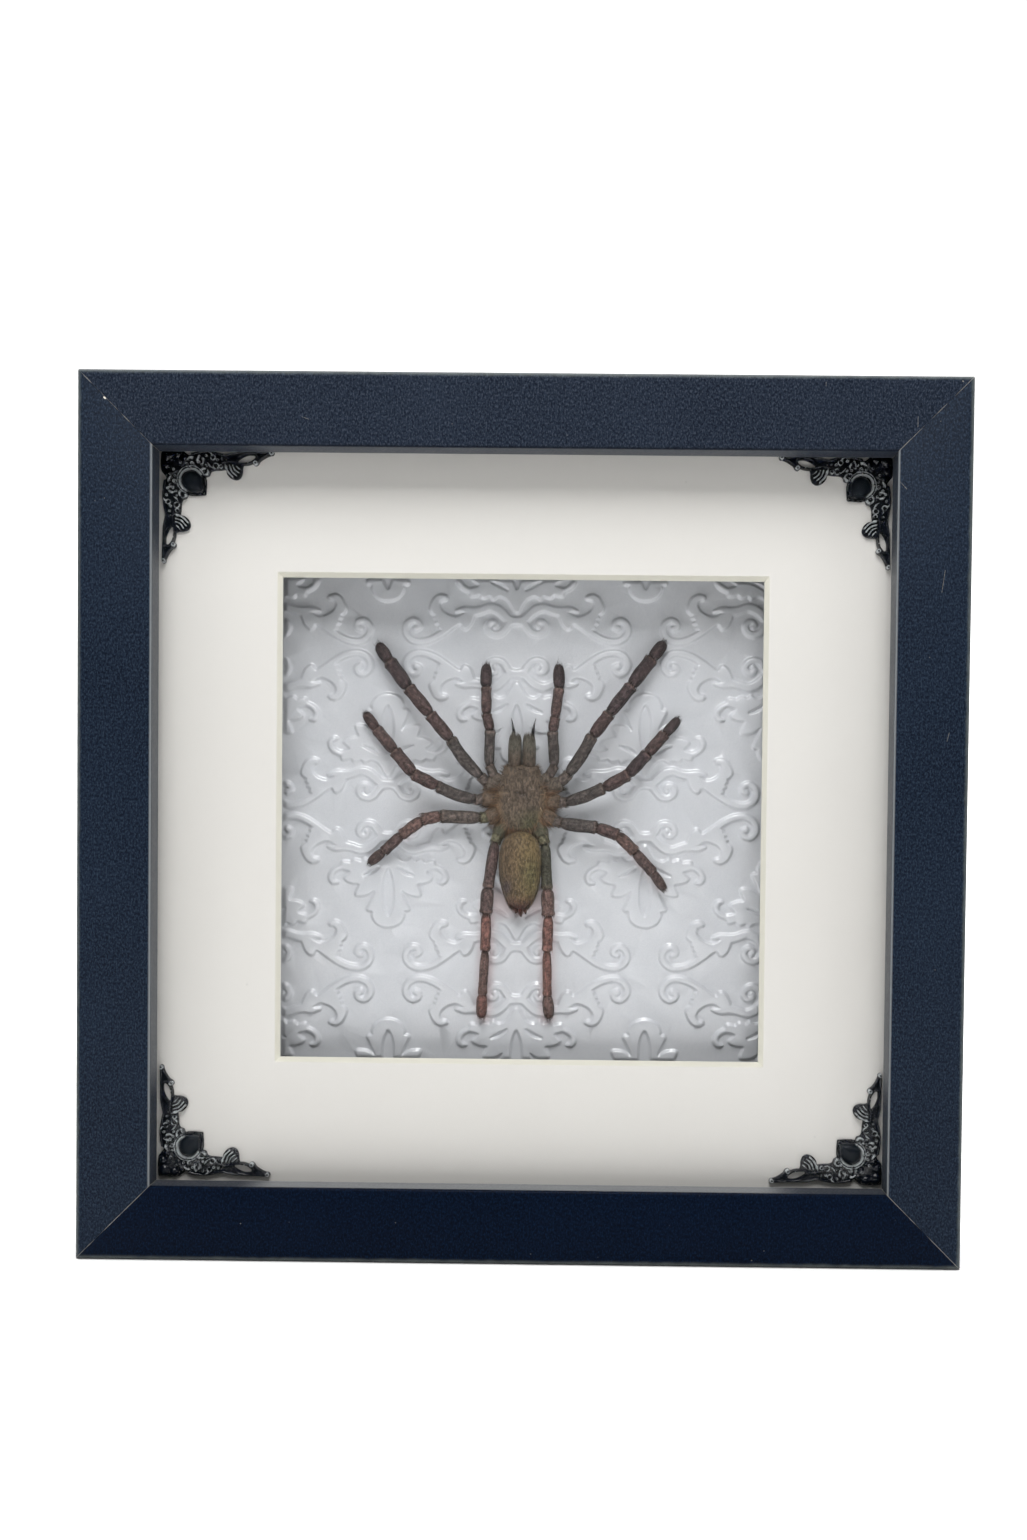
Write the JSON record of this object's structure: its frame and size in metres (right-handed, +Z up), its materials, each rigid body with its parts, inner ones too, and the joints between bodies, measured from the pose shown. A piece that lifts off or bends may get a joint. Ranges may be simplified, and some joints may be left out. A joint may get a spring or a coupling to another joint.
{
  "type": "framed tarantula specimen",
  "caption": "Dried, spread tarantula on damask-embossed paper in a square dark shadow box with a bevelled mat and filigree corners.",
  "frame": {"origin": "under the middle of the whole, on the surface that the bottom rail stands on", "axes": "+Z up, -Y is the way the glazed front faces, +X is to the viewer's right"},
  "size_m": [0.25, 0.042, 0.25],
  "materials": {
    "rail_finish": "wood moulding wrapped in a satin navy-charcoal foil with a fine mottled grain, worn lighter at the mitres",
    "pane": "clear, smooth",
    "inner_strip": "black-stained strip wood, matte",
    "mat": "warm off-white matte card with a paler cream bevel",
    "embossed_paper": "cool white matte stock, blind embossed with a damask of scrolls and palmettes",
    "backing": "plain brown fibreboard",
    "steel": "zinc-plated sheet",
    "casting": "glossy black enamel on a fine casting, with a dark domed gem in a bezel",
    "cuticle": "dried cuticle, taupe brown, finely haired, orange tan at the rim",
    "abdomen": "shrunken, golden olive brown, densely haired",
    "limb": "dried limb, grey brown to reddish brown, dark at the tip, bristled",
    "fang": "glossy black horn"
  },
  "bodies": {
    "root": {"abdomen": "abdomen", "backing_board": "backing", "carapace": "cuticle", "chelicera_left": "cuticle", "chelicera_right": "cuticle", "corner_casting_bottom_left": "casting", "corner_casting_bottom_right": "casting", "corner_casting_top_left": "casting", "corner_casting_top_right": "casting", "depth_spacer_bottom": "inner_strip", "depth_spacer_left": "inner_strip", "depth_spacer_right": "inner_strip", "depth_spacer_top": "inner_strip", "embossed_paper": "embossed_paper", "fang_left": "fang", "fang_right": "fang", "frame_rail_bottom": "rail_finish", "frame_rail_left": "rail_finish", "frame_rail_right": "rail_finish", "frame_rail_top": "rail_finish", "front_fillet_bottom": "inner_strip", "front_fillet_left": "inner_strip", "front_fillet_right": "inner_strip", "front_fillet_top": "inner_strip", "glazing_pane": "pane", "hanger_nail_left": "steel", "hanger_nail_right": "steel", "leg_1_left": "limb", "leg_1_right": "limb", "leg_2_left": "limb", "leg_2_right": "limb", "leg_3_left": "limb", "leg_3_right": "limb", "leg_4_left": "limb", "leg_4_right": "limb", "mat_board": "mat", "pedipalp_left": "limb", "pedipalp_right": "limb", "retaining_point_bottom_a": "steel", "retaining_point_bottom_b": "steel", "retaining_point_left_a": "steel", "retaining_point_left_b": "steel", "retaining_point_right_a": "steel", "retaining_point_right_b": "steel", "retaining_point_top_a": "steel", "retaining_point_top_b": "steel", "sawtooth_hanger": "steel", "spinnerets": "cuticle"}
  },
  "joints": []
}
